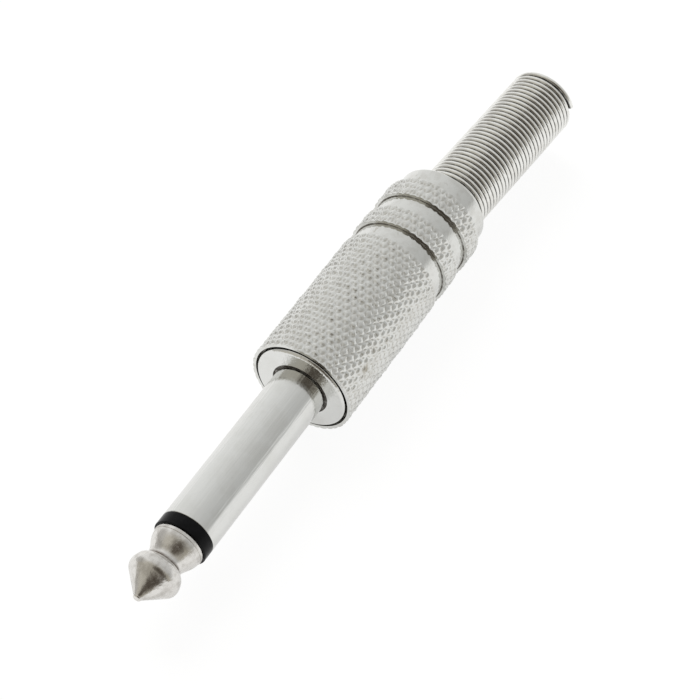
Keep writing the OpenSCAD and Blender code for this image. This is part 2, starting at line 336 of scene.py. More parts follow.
def make_shank():
    """Sleeve, flange and collar as one outline turned about X, with the thread cut into the collar."""
    root_r = SHANK_R + ROOT_W
    plain = rounded_outline([
        [HUB_END, SHANK_BORE_R, 0.03], [HUB_END, STAKED_R, 0.1], [STAKED_FRONT, STAKED_R, 0.05],
        [STAKED_FRONT, HUB_R, 0.02], [COLLAR_END, HUB_R, 0.02], [COLLAR_END, THREAD_R - COLLAR_BEVEL, 0.05],
        [THREAD_BACK, THREAD_R, 0], [THREAD_FRONT, THREAD_R, 0],
        [THREAD_FRONT, RELIEF_R, 0.05], [-FLANGE_T, RELIEF_R, 0.05], [-FLANGE_T, FLANGE_R, 0.05],
        [-FLANGE_BEVEL, FLANGE_R, 0.4], [0, FLANGE_R - FLANGE_BEVEL, 0.4],
        [0, root_r + ROOT_MARGIN, 0], [0, root_r, 0.03], [-ROOT_DEPTH, root_r, 0.03],
        [-ROOT_DEPTH, SHANK_R, 0.03], [ROOT_MARGIN, SHANK_R, 0],
        [SHANK_FRONT, SHANK_R, 0.08], [SHANK_FRONT, SOCKET_R, 0.03], [SOCKET_FLOOR, SOCKET_R, 0.02],
        [SOCKET_FLOOR, SHANK_BORE_R, 0.02],
    ])
    after = np.argmin(np.abs(plain - [THREAD_BACK, THREAD_R]).sum(1)) + 1
    thread_x = np.linspace(THREAD_BACK, THREAD_FRONT, THREAD_ROWS)[1:-1]
    thread_rows = np.stack([thread_x, np.full_like(thread_x, THREAD_R)], axis=1)
    inside = (plain[:, 0] > THREAD_BACK) & (plain[:, 0] < THREAD_FRONT)
    on_thread = inside & (np.abs(plain[:, 1] - THREAD_R) < SAME)
    outline = np.concatenate([plain[:after], thread_rows, plain[after:][~on_thread[after:]]])
    points, quads, triangles = turned(outline, SEGMENTS, collar_radius)
    piece = make_piece("shank_sleeve", points, quads, triangles, "plug", "shank", "polished_nickel")
    r = np.hypot(points[:, 1], points[:, 2])
    # Painted shade in the root groove, where the shank meets the flange face.
    face_slack, edge_slack = 0.01, 0.02
    in_root = (points[:, 0] < face_slack) & (points[:, 0] > -FLANGE_BEVEL) & (r < root_r + edge_slack)
    set_values(piece, "crevice_shade", 1.0 * in_root)
    return piece


def make_insulator():
    """Black ring with its spigot, turned about X."""
    outline = rounded_outline([
        [SPIGOT_BACK, ROD_BORE_R, 0.02], [SPIGOT_BACK, SPIGOT_R, 0.02], [RING_BACK, SPIGOT_R, 0.02],
        [RING_BACK, SHANK_R, RING_ROUND], [RING_FRONT, SHANK_R, RING_ROUND], [RING_FRONT, ROD_BORE_R, 0.02],
    ])
    ring = turned(outline, SEGMENTS)
    return make_piece("insulating_ring", *ring, "plug", "tip_insulator", "black_insulator")


def make_tip():
    """Rod, rim, bead, waist and pointed head in one outline turned about X.

    The bead falls to the waist with the square of one less the square of its share of the way, and the
    head's back is an ellipse arc.
    """
    bead_r = RIM_R - RIM_STEP
    rod = rounded_outline([
        [PEEN_FRONT - PEEN_T, 0, 0], [PEEN_FRONT - PEEN_T, PEEN_R, 0.3], [PEEN_FRONT, PEEN_R, 0.05],
        [PEEN_FRONT, ROD_R, 0.02], [RIM_BACK, ROD_R, 0.02], [RIM_BACK, RIM_R, 0.06],
        [RIM_FRONT, RIM_R, 0.03], [RIM_FRONT, bead_r, 0],
    ], closed=False)
    bead_start, bead_rows = 0.03, 28
    share = np.linspace(bead_start, 1, bead_rows)
    bead = np.stack([
        RIM_FRONT + (WAIST_BACK + BEAD_SWEEP - RIM_FRONT) * share,
        WAIST_R + (bead_r - WAIST_R) * (1 - share ** 2) ** 2,
    ], axis=1)
    waist = np.array([[WAIST_FRONT - short, WAIST_R] for short in (0.12, 0.05, 0)])
    back_radii = (HEAD_X - WAIST_FRONT, HEAD_R - WAIST_R)
    back = arc_points((HEAD_X, WAIST_R), back_radii, first=176, last=106, count=20)
    head = rounded_outline([
        back[-1].tolist() + [0], [HEAD_X, HEAD_R, HEAD_ROUND], [NOSE_X - NOSE_ROUND, NOSE_R, 0],
    ], closed=False, steps=14)[1:]
    nose_radii = (NOSE_ROUND, NOSE_R - NOSE_FLAT_R)
    nose = arc_points((NOSE_X - NOSE_ROUND, NOSE_FLAT_R), nose_radii, first=80, last=0, count=8)
    outline = np.concatenate([rod, bead, waist, back, head, nose, [[NOSE_X, 0]]])
    points, quads, triangles = turned(outline, SEGMENTS)
    piece = make_piece("tip_point", points, quads, triangles, "plug", "tip_contact", "polished_nickel")
    # Painted shade: a dark line on the waist just behind the head's back, where the head shades it.
    line_back, line_fade, line_full = 0.08, 0.17, 1.6
    from_line = np.abs(points[:, 0] - WAIST_FRONT + line_back)
    set_values(piece, "crevice_shade", np.clip(line_full - from_line / line_fade, 0, 1))
    return piece


def tooth_height(along, around):
    """Height from 0 to 1 of a diamond knurl: the lesser distance to two crossed families of grooves.

    Both families run at even sums and differences of the two counts, which wander a little in slow waves.
    The grooves are slightly rounded, and the distance levels off halfway into a flat. A cosine along the
    barrel joins the teeth of each row, and each tooth has its own share of the height, at least the value
    least: what is left of a large multiple of a sine after its whole number.
    """
    groove, flat, soft, joined, least = 0.04, 0.5, 0.02, 0.42, 0.62
    wander = 0.12
    slow_rounds, slow_rate = 5, 0.31
    along_rounds, along_rate = 9, 0.9
    around_rounds, around_rate = 14, 0.55
    waves = 2 * math.pi / (2 * KNURL_STARTS)
    slow_wave = np.sin(slow_rate * along + slow_rounds * waves * around)
    along = along + wander * np.sin(along_rounds * waves * around + along_rate * along) * slow_wave
    around = around + wander * np.sin(around_rounds * waves * around + around_rate * along)
    first = np.abs((along + around + 1) % 2 - 1)
    second = np.abs((along - around + 1) % 2 - 1)
    lesser = (np.minimum(np.hypot(first, groove), np.hypot(second, groove)) - groove) / flat
    lesser = (lesser + 1 - np.sqrt((lesser - 1) ** 2 + soft)) / 2
    lesser = (1 - joined) * lesser + joined * (1 + np.cos(2 * math.pi * along)) / 2
    tooth_1 = np.floor((along + around) / 2) % KNURL_STARTS
    tooth_2 = np.floor((along - around) / 2) % KNURL_STARTS
    stride_1, stride_2, large = 12.99, 78.23, 43758.5
    share = (np.sin(tooth_1 * stride_1 + tooth_2 * stride_2) * large) % 1
    return lesser * (least + (1 - least) * share)


def knurl_rows(front, back, angle, front_edge, back_edge, per_diamond=10):
    """Rows of a knurled stretch from front to back, with their tooth heights, painted crevice shade and
    plainness.

    The radius is the groove's plus the depth times the tooth height, and a 45 degree bevel trims both edges.
    A row just under each edge starts the wall below it.
    """
    diamonds = round(2 * (front - back) / DIAMOND_LEN)
    count = diamonds * per_diamond // 2
    along = np.linspace(diamonds, 0, count + 1)
    x = back + (front - back) * along / diamonds
    around = angle * 2 * KNURL_STARTS / (2 * math.pi)
    tooth = tooth_height(along[:, None], around)
    bevel = np.minimum(front_edge + (front - x), back_edge + (x - back))[:, None]
    r = np.minimum(KNURL_R - KNURL_DEPTH + KNURL_DEPTH * tooth, bevel)
    x = np.broadcast_to(x[:, None], r.shape)
    under, edge_shade = 0.04, 0.15
    x = np.concatenate([x[:1], x, x[-1:]])
    r = np.concatenate([r[:1] - under, r, r[-1:] - under])
    tooth = np.concatenate([tooth[:1], tooth, tooth[-1:]])
    crevice_shade = np.zeros_like(r)
    # Painted shade on the row under a band's front edge, except at the lip.
    crevice_shade[0] = edge_shade * (front < LIP_X)
    return x, r, tooth, crevice_shade, np.zeros_like(r)


def plain_rows(outline, angle):
    """Rows of a plain turned stretch at full tooth height, with painted shade at the foot of a band's wall.
    """
    x = np.broadcast_to(outline[:, :1], (len(outline), angle.shape[1]))
    r = np.broadcast_to(outline[:, 1:], x.shape)
    # Painted shade on the groove floor and low wall at the foot of the wall that rises to each rear band.
    wall_reach, shade_full, shade_height = 0.045, 1.4, 0.13
    at_wall = np.minimum(np.abs(x - BAND_2[0]), np.abs(x - BAND_3[0])) < wall_reach
    crevice_shade = at_wall * np.clip(shade_full - (r - GROOVE_R) / shade_height, 0, 1)
    return x, r, np.ones_like(x), crevice_shade, np.ones_like(x)


def groove_outline(front, back):
    """Plain groove between two knurled stretches: both walls' feet rounded, and points to hold its floor."""
    floor_margin, wall_margin = 0.12, 0.2
    return rounded_outline([
        [front, KNURL_R, 0], [front, GROOVE_R, FOOT_ROUND], [back + floor_margin, GROOVE_R, 0],
        [back, GROOVE_R, FOOT_ROUND], [back, GROOVE_R + wall_margin, 0], [back, KNURL_R, 0],
    ], closed=False, steps=4)[2:-1]


def make_barrel():
    """Knurled outside and bored inside as two grids, joined by a ring of triangles at each end."""
    columns, bore_columns = 400, 100
    angle = np.linspace(0, 2 * math.pi, columns, endpoint=False)[None, :]
    tail = rounded_outline([
        [BAND_3[1], KNURL_R, 0], [BAND_3[1], TAIL_R, FOOT_ROUND], [TAIL_END, TAIL_R, TAIL_ROUND],
        [TAIL_END, TAIL_BORE_R + TAIL_BEVEL, 0],
    ], closed=False, steps=10)[2:-1]
    stretches = [
        knurl_rows(LIP_X, GRIP_END, angle, LIP_R + LIP_RISE, TRIMMED_R),
        plain_rows(groove_outline(GRIP_END, BAND_2[0]), angle),
        knurl_rows(*BAND_2, angle, KNURL_R, TRIMMED_R),
        plain_rows(groove_outline(BAND_2[1], BAND_3[0]), angle),
        knurl_rows(*BAND_3, angle, KNURL_R, TRIMMED_R),
        plain_rows(tail, angle),
    ]
    x, r, tooth, crevice_shade, plain = (np.concatenate(rows) for rows in zip(*stretches))
    outer = round_grid(x, r, angle).reshape(-1, 3)

    thread_x = np.linspace(FEMALE_END, MOUTH_FLOOR, THREAD_ROWS)
    bore = np.concatenate([
        rounded_outline([
            [TAIL_END, TAIL_BORE_R + TAIL_BEVEL, 0], [TAIL_END + TAIL_BEVEL, TAIL_BORE_R, 0.03],
            [CHAMBER_END, TAIL_BORE_R, 0.04], [CHAMBER_END, CHAMBER_R, 0.04], [FEMALE_END, CHAMBER_R, 0.04],
            [FEMALE_END, FEMALE_R, 0],
        ], closed=False)[:-1],
        np.stack([thread_x, np.full_like(thread_x, FEMALE_R)], axis=1),
        rounded_outline([
            [MOUTH_FLOOR, FEMALE_R, 0], [MOUTH_FLOOR, MOUTH_R, 0.03], [LIP_X, MOUTH_R, 0.04],
            [LIP_X, LIP_R - LIP_BEVEL, 0],
        ], closed=False)[1:],
    ])
    bore_angle = np.linspace(0, 2 * math.pi, bore_columns, endpoint=False)[None, :]
    bore_x = bore[:, :1]
    on_thread = np.abs(bore[:, 1:] - FEMALE_R) < SAME
    on_thread &= (bore_x > FEMALE_END) & (bore_x < MOUTH_FLOOR)
    bore_r = np.where(on_thread, barrel_thread_radius(bore_x, bore_angle), bore[:, 1:] + 0 * bore_angle)
    inner = round_grid(bore_x, bore_r, bore_angle).reshape(-1, 3)

    base = len(outer)
    first_row = np.arange(columns)
    last_row = base - columns + np.arange(columns)
    bore_tail = base + np.arange(bore_columns)
    bore_lip = base + len(inner) - bore_columns + np.arange(bore_columns)
    points = np.concatenate([outer, inner])
    quads = np.concatenate([
        grid_quads(len(x), columns), base + grid_quads(len(bore), bore_columns)
    ])
    triangles = np.concatenate([joining_ring(last_row, bore_tail), joining_ring(bore_lip, first_row)])
    piece = make_piece(
        "knurled_barrel", points, quads, triangles, "cap", "barrel", "knurled_nickel", sharp_degrees=55
    )
    # Painted shade over the whole bore, short of its two ends.
    tail_slack, lip_slack, bore_shade = 0.05, 0.06, 0.9
    in_bore = (inner[:, 0] > TAIL_END + tail_slack) & (inner[:, 0] < LIP_X - lip_slack)
    set_values(piece, "tooth", np.concatenate([tooth.ravel(), np.ones(len(inner))]))
    set_values(piece, "crevice_shade", np.concatenate([crevice_shade.ravel(), bore_shade * in_bore]))
    set_values(piece, "plain", np.concatenate([plain.ravel(), np.ones(len(inner))]))
    return piece


def joining_ring(ring, next_ring):
    """Triangles between two rings about one axis, where one has a whole multiple of the other's points."""
    flip = len(next_ring) > len(ring)
    fine, coarse = (next_ring, ring) if flip else (ring, next_ring)
    times = len(fine) // len(coarse)
    step = np.arange(len(fine))
    near = ((step + times // 2) // times) % len(coarse)
    to_fine = np.stack([fine, np.roll(fine, -1), coarse[near]], axis=1)
    k = np.arange(len(coarse))
    to_coarse = np.stack([fine[k * times + times // 2], np.roll(coarse, -1), coarse], axis=1)
    triangles = np.concatenate([to_fine, to_coarse])
    return triangles[:, ::-1] if flip else triangles


def make_spring():
    """Round wire swept along a right-handed helix.

    The helix starts wide, where the barrel holds it, narrows over half a turn and opens over its last
    half turn. The whole of it is turned about the upright line through the end of the barrel's chamber.
    """
    per_turn, sides = 72, 18
    turns = np.linspace(0, COIL_TURNS, COIL_TURNS * per_turn + 1)
    half_turn = 0.5
    narrowing = np.clip((turns - CAPTIVE_TURNS) / half_turn, 0, 1)
    opening = np.clip((turns - COIL_TURNS + half_turn) / half_turn, 0, 1)
    narrowing, opening = ((1 - np.cos(math.pi * share)) / 2 for share in (narrowing, opening))
    radius = CAPTIVE_R + (COIL_R - CAPTIVE_R) * narrowing + END_SPLAY * opening
    along = COIL_FRONT - COIL_PITCH * turns - END_GAP * opening
    angle = END_ANGLE + 2 * math.pi * (turns - COIL_TURNS)
    path = np.stack([along, radius * np.sin(angle), radius * np.cos(angle)], axis=1)
    tangent = np.gradient(path, axis=0)
    tangent /= np.linalg.norm(tangent, axis=1)[:, None]
    outward = np.stack([0 * angle, np.sin(angle), np.cos(angle)], axis=1)
    outward -= tangent * (outward * tangent).sum(1)[:, None]
    outward /= np.linalg.norm(outward, axis=1)[:, None]
    across = np.cross(tangent, outward)
    end_rounding = 0.06
    path = np.concatenate([
        path[:1], path[:1], path[:1] + tangent[:1] * end_rounding, path[1:-1],
        path[-1:] - tangent[-1:] * end_rounding, path[-1:], path[-1:],
    ])
    outward, across = (np.concatenate([a[:1], a[:1], a, a[-1:], a[-1:]]) for a in (outward, across))
    wire = np.full(len(path), WIRE_R)
    wire[[0, 1, -2, -1]] = [0, WIRE_R - end_rounding, WIRE_R - end_rounding, 0]
    spin = np.linspace(0, 2 * math.pi, sides, endpoint=False)[None, :, None]
    ring = outward[:, None, :] * np.cos(spin) + across[:, None, :] * np.sin(spin)
    points = path[:, None, :] + wire[:, None, None] * ring
    points = np.concatenate([points[1:-1].reshape(-1, 3), path[:1], path[-1:]])
    rows = len(path) - 2
    quads = grid_quads(rows, sides)
    ends = np.arange(sides)
    triangles = np.concatenate([
        fan(rows * sides, ends)[:, ::-1], fan(rows * sides + 1, ends + (rows - 1) * sides)
    ])
    x = points[:, 0] - CHAMBER_END
    points = np.stack([
        CHAMBER_END + x * math.cos(SPRING_LEAN) + points[:, 1] * math.sin(SPRING_LEAN),
        points[:, 1] * math.cos(SPRING_LEAN) - x * math.sin(SPRING_LEAN),
        points[:, 2],
    ], axis=1)
    piece = make_piece(
        "spring_coil", points, quads, triangles, "spring", "strain_spring", "spring_wire", sharp_degrees=60
    )
    # Painted shade on the wire's inner side, where neighbouring turns shade it, and a painted shadow of the
    # barrel's tail on the turns beside it, heavier towards +Y.
    facing_out = np.broadcast_to(np.cos(spin[..., 0]), (rows, sides)).ravel()
    unshaded_from, shade_fade = 0.76, 0.35
    crevice_shade = np.clip((unshaded_from - facing_out) / shade_fade, 0, 1)
    tail_reach, tail_fade, tail_shade = 0.45, 0.3, 0.9
    side_fade, side_start = 2, 0.6
    tail_shadow = np.clip((points[:-2, 0] - TAIL_END + tail_reach) / tail_fade, 0, 1)
    tail_shadow *= np.clip(points[:-2, 1] / side_fade + side_start, 0, 1)
    set_values(piece, "crevice_shade", np.concatenate([np.maximum(crevice_shade, tail_shade * tail_shadow), [0, 0]]))
    return piece


# Shader helpers

class Nodes:
    """Shorthand for building a node tree.

    add makes a node with its settings and inputs. An input is named, with _ for each space, or numbered
    as i0, i1 and so on.
    """

    def __init__(self, tree):
        self.tree = tree

    def add(self, kind, settings=None, **inputs):
        node = self.tree.nodes.new(kind)
        for name, value in (settings or {}).items():
            setattr(node, name, value)
        for name, value in inputs.items():
            numbered = name[0] == "i" and name[1:].isdigit()
            socket = node.inputs[int(name[1:]) if numbered else name.replace("_", " ")]
            if isinstance(value, bpy.types.NodeSocket):
                self.tree.links.new(value, socket)
            else:
                socket.default_value = value
        return node

    def group(self, tree, **inputs):
        return self.add("ShaderNodeGroup", {"node_tree": tree}, **inputs).outputs

    def math(self, operation, first, second=0.0, clamp=False):
        settings = {"operation": operation, "use_clamp": clamp}
        return self.add("ShaderNodeMath", settings, i0=first, i1=second).outputs[0]

    def ease(self, value, low, high, out_low=0.0, out_high=1.0):
        settings = {"interpolation_type": "SMOOTHSTEP"}
        node = self.add("ShaderNodeMapRange", settings, i0=value, i1=low, i2=high, i3=out_low, i4=out_high)
        return node.outputs[0]

    def mix_colour(self, share, first, second):
        node = self.add("ShaderNodeMix", {"data_type": "RGBA"}, i0=share, i6=first, i7=second)
        return node.outputs[2]


def new_group(name, inputs, outputs):
    """Shader node group with named sockets; inputs are name, socket type and default value."""
    group = bpy.data.node_groups.new(name, "ShaderNodeTree")
    for socket_name, kind, default in inputs:
        socket = group.interface.new_socket(socket_name, in_out="INPUT", socket_type=kind)
        if default is not None:
            socket.default_value = default
    for socket_name, kind in outputs:
        group.interface.new_socket(socket_name, in_out="OUTPUT", socket_type=kind)
    nodes = Nodes(group)
    return group, nodes, nodes.add("NodeGroupInput").outputs, nodes.add("NodeGroupOutput").inputs


def make_plating_group():
    """Plating tone: slow clouds of a second colour, and the roughness rising in smudges."""
    group, nodes, given, out = new_group(
        "plating_tone",
        [
            ("Vector", "NodeSocketVector", None), ("Plate", "NodeSocketColor", (0.7, 0.7, 0.7, 1)),
            ("Cloud", "NodeSocketColor", (0.6, 0.6, 0.6, 1)), ("Cloud Share", "NodeSocketFloat", 0.3),
            ("Scale", "NodeSocketFloat", 260.0), ("Smooth", "NodeSocketFloat", 0.08),
            ("Smudged", "NodeSocketFloat", 0.2),
        ],
        [("Color", "NodeSocketColor"), ("Roughness", "NodeSocketFloat")],
    )
    clouds = nodes.add(
        "ShaderNodeTexNoise", Vector=given["Vector"], Scale=given["Scale"], Detail=4.0, Roughness=0.6
    )
    share = nodes.math("MULTIPLY", nodes.ease(clouds.outputs["Fac"], 0.42, 0.66), given["Cloud Share"])
    tone = nodes.mix_colour(share, given["Plate"], given["Cloud"])
    finer = nodes.math("MULTIPLY", given["Scale"], 2.7)
    smudges = nodes.add(
        "ShaderNodeTexNoise", Vector=given["Vector"], Scale=finer, Detail=5.0, Roughness=0.65
    )
    smudge = nodes.ease(smudges.outputs["Fac"], 0.4, 0.72)
    spread = nodes.math("SUBTRACT", given["Smudged"], given["Smooth"])
    roughness = nodes.math("ADD", given["Smooth"], nodes.math("MULTIPLY", smudge, spread))
    nodes.tree.links.new(tone, out["Color"])
    nodes.tree.links.new(roughness, out["Roughness"])
    return group


def make_scuff_group():
    """Fine scuffs: noise drawn out along one way and kept only where it is high, as a height."""
    group, nodes, given, out = new_group(
        "fine_scuffs",
        [
            ("Vector", "NodeSocketVector", None), ("Stretch", "NodeSocketVector", (1, 1, 1)),
            ("Scale", "NodeSocketFloat", 900.0), ("Height", "NodeSocketFloat", 1.0),
        ],
        [("Height", "NodeSocketFloat")],
    )
    drawn = nodes.add(
        "ShaderNodeVectorMath", {"operation": "MULTIPLY"}, i0=given["Vector"], i1=given["Stretch"]
    ).outputs[0]
    noise = nodes.add("ShaderNodeTexNoise", Vector=drawn, Scale=given["Scale"], Detail=3.0, Roughness=0.6)
    height = nodes.math("MULTIPLY", nodes.ease(noise.outputs["Fac"], 0.35, 0.7), given["Height"])
    nodes.tree.links.new(height, out["Height"])
    return group


def make_turning_group():
    """Turning lines: noise over a sum of the distances along and from the X axis, which gives rings."""
    group, nodes, given, out = new_group(
        "turning_lines",
        [
            ("Vector", "NodeSocketVector", None), ("Scale", "NodeSocketFloat", 9000.0),
            ("Height", "NodeSocketFloat", 1.0),
        ],
        [("Height", "NodeSocketFloat")],
    )
    axes = nodes.add("ShaderNodeSeparateXYZ", Vector=given["Vector"]).outputs
    spoke = nodes.add("ShaderNodeCombineXYZ", Y=axes["Y"], Z=axes["Z"]).outputs[0]
    reach = nodes.add("ShaderNodeVectorMath", {"operation": "LENGTH"}, i0=spoke).outputs["Value"]
    way = nodes.math("ADD", nodes.math("MULTIPLY", axes["X"], 0.8), nodes.math("MULTIPLY", reach, 1.3))
    lines = nodes.add(
        "ShaderNodeTexNoise", {"noise_dimensions": "1D"}, W=way, Scale=given["Scale"], Detail=3.0
    )
    nodes.tree.links.new(nodes.math("MULTIPLY", lines.outputs["Fac"], given["Height"]), out["Height"])
    return group


def make_crevice_shade_group():
    """Painted crevice shade: where the mask is high, the plating turns dark, dull and less metallic, as
    painted shade in grooves, gaps and bores.
    """
    group, nodes, given, out = new_group(
        "painted_crevice_shade",
        [
            ("Vector", "NodeSocketVector", None), ("Color", "NodeSocketColor", (0.7, 0.7, 0.7, 1)),
            ("Roughness", "NodeSocketFloat", 0.2), ("Mask", "NodeSocketFloat", 0.0),
            ("Grime", "NodeSocketColor", (0.05, 0.04, 0.03, 1)),
        ],
        [("Color", "NodeSocketColor"), ("Roughness", "NodeSocketFloat"), ("Metallic", "NodeSocketFloat")],
    )
    noise = nodes.add("ShaderNodeTexNoise", Vector=given["Vector"], Scale=1400.0, Detail=4.0)
    uneven = nodes.ease(noise.outputs["Fac"], 0.3, 0.6, 0.5, 1.0)
    share = nodes.math("MULTIPLY", given["Mask"], uneven, clamp=True)
    nodes.tree.links.new(nodes.mix_colour(share, given["Color"], given["Grime"]), out["Color"])
    dull = nodes.math("MULTIPLY", share, 0.45)
    nodes.tree.links.new(nodes.math("MAXIMUM", given["Roughness"], dull), out["Roughness"])
    nodes.tree.links.new(nodes.ease(share, 0.2, 1.0, 1.0, 0.15), out["Metallic"])
    return group


PLATING = make_plating_group()
SCUFFS = make_scuff_group()
TURNING = make_turning_group()
CREVICE_SHADE = make_crevice_shade_group()


def new_material(name):
    """Material with its node helper, its Principled shader and its Object coordinates."""
    material = bpy.data.materials.new(name)
    material.use_nodes = True
    nodes = Nodes(material.node_tree)
    shader = material.node_tree.nodes["Principled BSDF"]
    place = nodes.add("ShaderNodeTexCoord").outputs["Object"]
    return material, nodes, shader, place


def plated(name, tone, scuffs, turning, grime=None, plainer=None):
    """Bright plated metal: plating tone, scuffs and turning lines as bump, and painted shade in its
    crevices.

    The heights of scuffs and turning lines are in micrometres. Where the mesh is marked as plain, roughness
    and bump shrink to the share plainer.
    """
    material, nodes, shader, place = new_material(name)
    plate = nodes.group(PLATING, Vector=place, **tone)
    colour, roughness = plate["Color"], plate["Roughness"]
    marks = nodes.group(SCUFFS, Vector=place, **scuffs)["Height"]
    lines = nodes.group(TURNING, Vector=place, **turning)["Height"]
    height = nodes.math("ADD", marks, lines)
    if plainer is not None:
        plain = nodes.add("ShaderNodeAttribute", {"attribute_name": "plain"}).outputs["Fac"]
        share = nodes.ease(plain, 0.0, 1.0, 1.0, plainer)
        height = nodes.math("MULTIPLY", height, share)
        roughness = nodes.math("MULTIPLY", roughness, share)
    bumped = nodes.add("ShaderNodeBump", Height=height, Strength=1.0, Distance=MICROMETRE)
    shader.inputs["Metallic"].default_value = 1.0
    nodes.tree.links.new(colour, shader.inputs["Base Color"])
    nodes.tree.links.new(roughness, shader.inputs["Roughness"])
    nodes.tree.links.new(bumped.outputs["Normal"], shader.inputs["Normal"])
    if grime is not None:
        # Painted shade: the crevice shade mask darkens the plating where shade falls in grooves, gaps and
        # bores.
        mask = nodes.add("ShaderNodeAttribute", {"attribute_name": "crevice_shade"}).outputs["Fac"]
        crevice_shaded = nodes.group(
            CREVICE_SHADE, Vector=place, Color=colour, Roughness=roughness, Mask=mask, Grime=grime
        )
        nodes.tree.links.new(crevice_shaded["Color"], shader.inputs["Base Color"])
        nodes.tree.links.new(crevice_shaded["Roughness"], shader.inputs["Roughness"])
        nodes.tree.links.new(crevice_shaded["Metallic"], shader.inputs["Metallic"])
    return material, nodes, shader


# Finishes

def polished_nickel():
    """Shank and flange: bright turned nickel with faint rings and painted shade in the groove at the shank's
    root.
    """
    return plated(
        "polished_nickel",
        {"Plate": (0.74, 0.745, 0.73, 1), "Cloud": (0.67, 0.67, 0.645, 1), "Cloud_Share": 0.5,
         "Scale": 300.0, "Smooth": 0.09, "Smudged": 0.2},
        {"Stretch": (0.03, 1, 1), "Scale": 2400.0, "Height": 14.0},
        {"Scale": 9000.0, "Height": 0.5},
        # Dark brown of the painted shade in the root groove.
        (0.055, 0.042, 0.028, 1),
    )[0]


def scuffed_nickel():
    """Tip: the same nickel, warmer and rubbed dull by many socket springs."""
    return plated(
        "scuffed_nickel",
        {"Plate": (0.76, 0.745, 0.72, 1), "Cloud": (0.48, 0.46, 0.43, 1), "Cloud_Share": 0.65,
         "Scale": 800.0, "Smooth": 0.16, "Smudged": 0.36},
        {"Stretch": (0.35, 1, 1), "Scale": 1800.0, "Height": 8.0},
        {"Scale": 6000.0, "Height": 1.5},
        # Dark brown of the painted shade line behind the head.
        (0.09, 0.06, 0.04, 1),
    )[0]


def knurled_nickel():
    """Barrel: satin nickel with brown grime and painted shade in the knurl's grooves, brown flecks, one
    faint stain, and painted shade at the band walls and in the bore.
    """
    material, nodes, shader = plated(
        "knurled_nickel",
        {"Plate": (0.73, 0.735, 0.715, 1), "Cloud": (0.62, 0.615, 0.585, 1), "Cloud_Share": 0.6,
         "Scale": 900.0, "Smooth": 0.13, "Smudged": 0.28},
        {"Stretch": (1, 1, 1), "Scale": 3600.0, "Height": 8.0},
        {"Scale": 5000.0, "Height": 1.0},
        # First, the dark brown of the painted shade at the band walls and in the bore.
        (0.085, 0.068, 0.046, 1), 0.42,
    )
    brown = (0.36, 0.33, 0.27, 1)
    stain_place = (-4.6 * MM, 5.9 * MM, 2.15 * MM)
    stain_edge, stain_core = 1.4 * MM, 0.3 * MM
    colour = shader.inputs["Base Color"].links[0].from_socket
    place = nodes.add("ShaderNodeTexCoord").outputs["Object"]
    tooth = nodes.add("ShaderNodeAttribute", {"attribute_name": "tooth"}).outputs["Fac"]
    # Brown where the teeth are low: grime in the knurl's grooves, with painted shade that deepens the
    # lattice.
    low = nodes.ease(tooth, 0.0, 0.35, out_low=0.58, out_high=0.0)
    noise = nodes.add("ShaderNodeTexNoise", Vector=place, Scale=1100.0, Detail=3.0, Roughness=0.6)
    noise = noise.outputs["Fac"]
    flecks = nodes.ease(noise, 0.63, 0.74, out_high=0.5)
    away = nodes.add("ShaderNodeVectorMath", {"operation": "DISTANCE"}, i0=place, i1=stain_place)
    stain = nodes.ease(away.outputs["Value"], stain_edge, stain_core, out_high=0.9)
    stain = nodes.math("MULTIPLY", stain, nodes.ease(noise, 0.35, 0.65))
    share = nodes.math("MAXIMUM", nodes.math("MAXIMUM", low, flecks), stain)
    nodes.tree.links.new(nodes.mix_colour(share, colour, brown), shader.inputs["Base Color"])
    return material


def spring_wire():
    """Drawn nickelled wire with a slightly warm cast and painted shade lines where the turns lie together.
    """
    return plated(
        "spring_wire",
        {"Plate": (0.87, 0.87, 0.845, 1), "Cloud": (0.70, 0.685, 0.64, 1), "Cloud_Share": 0.5,
         "Scale": 900.0, "Smooth": 0.11, "Smudged": 0.24},
        {"Stretch": (1, 1, 1), "Scale": 2400.0, "Height": 5.0},
        {"Scale": 3000.0, "Height": 0.5},
        # Near-black of the painted shade between the turns and beside the tail.
        (0.016, 0.016, 0.013, 1),
    )[0]


def tinned_brass():
    """Solder tags: dull tin plate."""
    return plated(
        "tinned_brass",
        {"Plate": (0.66, 0.64, 0.58, 1), "Cloud": (0.5, 0.46, 0.36, 1), "Cloud_Share": 0.6,
         "Scale": 500.0, "Smooth": 0.25, "Smudged": 0.45},
        {"Stretch": (0.2, 1, 1), "Scale": 3000.0, "Height": 6.0},
        {"Scale": 3000.0, "Height": 0.5},
    )[0]


def plastic(name, colour, cloud, roughness, bump):
    """Moulded or turned plastic: faint clouds in the colour and a fine uneven skin."""
    material, nodes, shader, place = new_material(name)
    noise = nodes.add("ShaderNodeTexNoise", Vector=place, Scale=900.0, Detail=4.0, Roughness=0.6)
    mixed = nodes.mix_colour(nodes.ease(noise.outputs["Fac"], 0.35, 0.75), colour, cloud)
    height = nodes.group(SCUFFS, Vector=place, Stretch=(4, 1, 1), Scale=900.0, Height=bump)["Height"]
    bumped = nodes.add("ShaderNodeBump", Height=height, Strength=1.0, Distance=MICROMETRE)
    shader.inputs["Roughness"].default_value = roughness
    nodes.tree.links.new(mixed, shader.inputs["Base Color"])
    nodes.tree.links.new(bumped.outputs["Normal"], shader.inputs["Normal"])
    return material, shader


def black_insulator():
    """Insulating ring: deep black, glossy but with little reflection."""
    black, greyer = (0.002, 0.002, 0.0025, 1), (0.006, 0.006, 0.007, 1)
    material, shader = plastic("black_insulator", black, greyer, 0.2, 3.0)
    shader.inputs["Specular IOR Level"].default_value = 0.1
    return material


